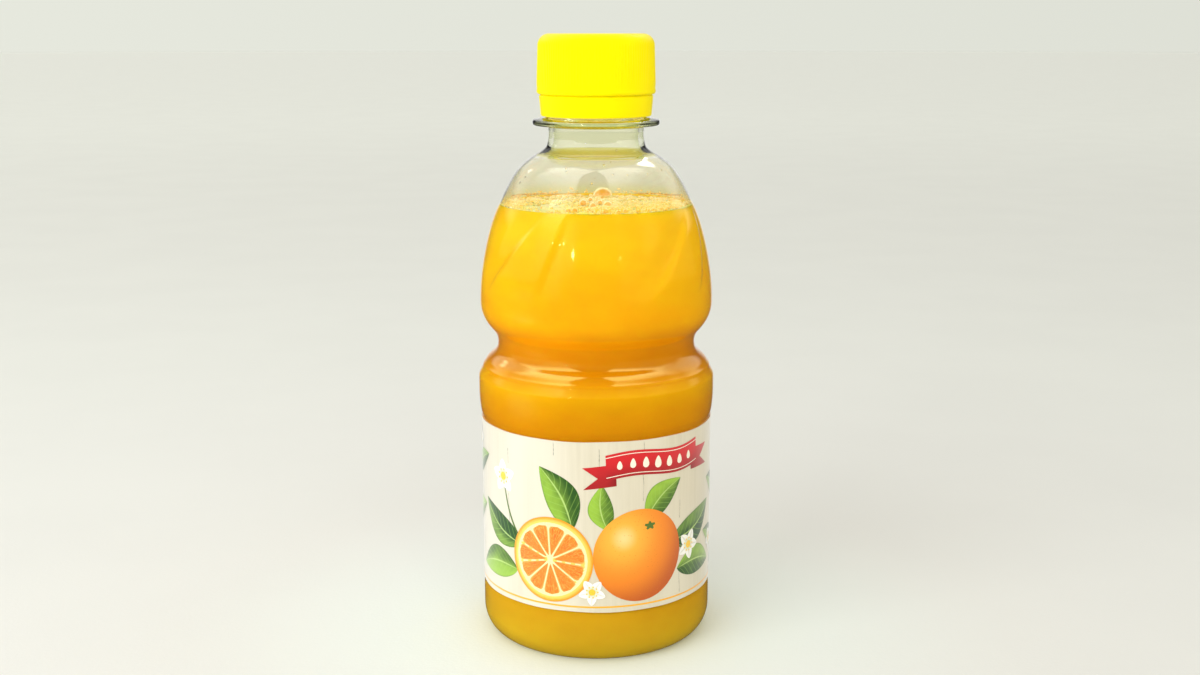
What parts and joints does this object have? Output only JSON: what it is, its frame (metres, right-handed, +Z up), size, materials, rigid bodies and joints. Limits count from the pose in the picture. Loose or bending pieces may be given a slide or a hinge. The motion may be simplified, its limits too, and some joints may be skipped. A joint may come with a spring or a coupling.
{
  "type": "orange juice bottle",
  "caption": "Small clear plastic bottle of orange juice with a leaning leaf swirl, a waist, a wrap-around label and a yellow screw cap.",
  "frame": {"origin": "middle of the foot ring's underside, on the bottle's axis", "axes": "+Z up along the bottle's axis, -Y out of the label's front"},
  "size_m": [0.0626, 0.0626, 0.1594],
  "materials": {
    "clear_plastic": "clear, high gloss",
    "juice": "cloudy liquid, wet",
    "foam": "froth of small bubbles, wet",
    "cap_plastic": "satin",
    "label_film": "printed film, semi-gloss"
  },
  "bodies": {
    "root": {"bottle": "clear_plastic", "juice": "juice", "cap": "cap_plastic", "tamper_band": "cap_plastic", "label": "label_film"}
  },
  "joints": []
}
